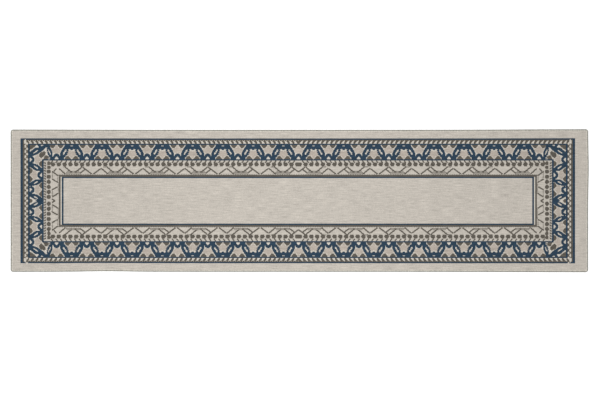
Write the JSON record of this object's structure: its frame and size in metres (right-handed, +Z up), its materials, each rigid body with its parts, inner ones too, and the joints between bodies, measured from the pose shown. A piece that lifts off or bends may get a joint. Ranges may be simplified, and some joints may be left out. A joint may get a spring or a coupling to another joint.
{
  "type": "runner rug",
  "caption": "Long flat-woven runner rug with a plain field, a leaf-and-star border in navy, cream and taupe, and overcast edges.",
  "frame": {"origin": "middle of the underside, on the floor", "axes": "+X along the length, +Y across the width, +Z up through the thickness"},
  "size_m": [2.44, 0.6, 0.005],
  "materials": {
    "latex_back": "matt latex coat with the cloth showing through as a fine grid",
    "ground_cloth": "coarse plain-woven jute and cotton ground",
    "beige_yarn": "matt beige heat-set yarn",
    "cream_yarn": "matt cream heat-set yarn",
    "pale_grey_yarn": "matt pale greige heat-set yarn",
    "star_yarn": "matt greige heat-set yarn",
    "blue_yarn": "matt navy heat-set yarn",
    "taupe_yarn": "matt dark taupe heat-set yarn",
    "edge_thread": "close overcast thread, slightly darker at the outer rim",
    "cord_cotton": "twisted cotton filler cord"
  },
  "bodies": {
    "root": {"arch_figure": "blue_yarn", "arch_hearts": "cream_yarn", "back_coat": "latex_back", "cap_figure": "blue_yarn", "cap_lenses": "cream_yarn", "centre_field_weave": "beige_yarn", "corner_leaf_outlines": "blue_yarn", "corner_leaf_veins": "cream_yarn", "corner_taupe_patches": "taupe_yarn", "end_arch_figure": "blue_yarn", "end_guard_lines": "taupe_yarn", "end_leaf_outlines": "blue_yarn", "end_leaf_veins": "cream_yarn", "end_rope_zigzag": "taupe_yarn", "end_star_figure": "star_yarn", "end_taupe_points": "taupe_yarn", "field_blue_line": "blue_yarn", "field_edge_row": "cream_yarn", "filler_cord_back": "cord_cotton", "filler_cord_front": "cord_cotton", "filler_cord_left": "cord_cotton", "filler_cord_right": "cord_cotton", "ground_cloth": "ground_cloth", "guard_band_ground": "pale_grey_yarn", "guard_dashes": "taupe_yarn", "guard_lines": "taupe_yarn", "guard_spots": "taupe_yarn", "inner_taupe_line": "taupe_yarn", "leaf_blue_line": "blue_yarn", "leaf_border_ground": "cream_yarn", "long_leaf_outlines": "blue_yarn", "long_leaf_veins": "cream_yarn", "margin_weave": "beige_yarn", "outer_blue_line": "blue_yarn", "outer_taupe_stripe": "taupe_yarn", "rope_band_ground": "cream_yarn", "rope_blue_line": "blue_yarn", "rope_floats": "taupe_yarn", "serging_back": "edge_thread", "serging_front": "edge_thread", "serging_left": "edge_thread", "serging_right": "edge_thread", "star_figure": "star_yarn", "taupe_points_inner": "taupe_yarn", "taupe_points_outer": "taupe_yarn"}
  },
  "joints": []
}
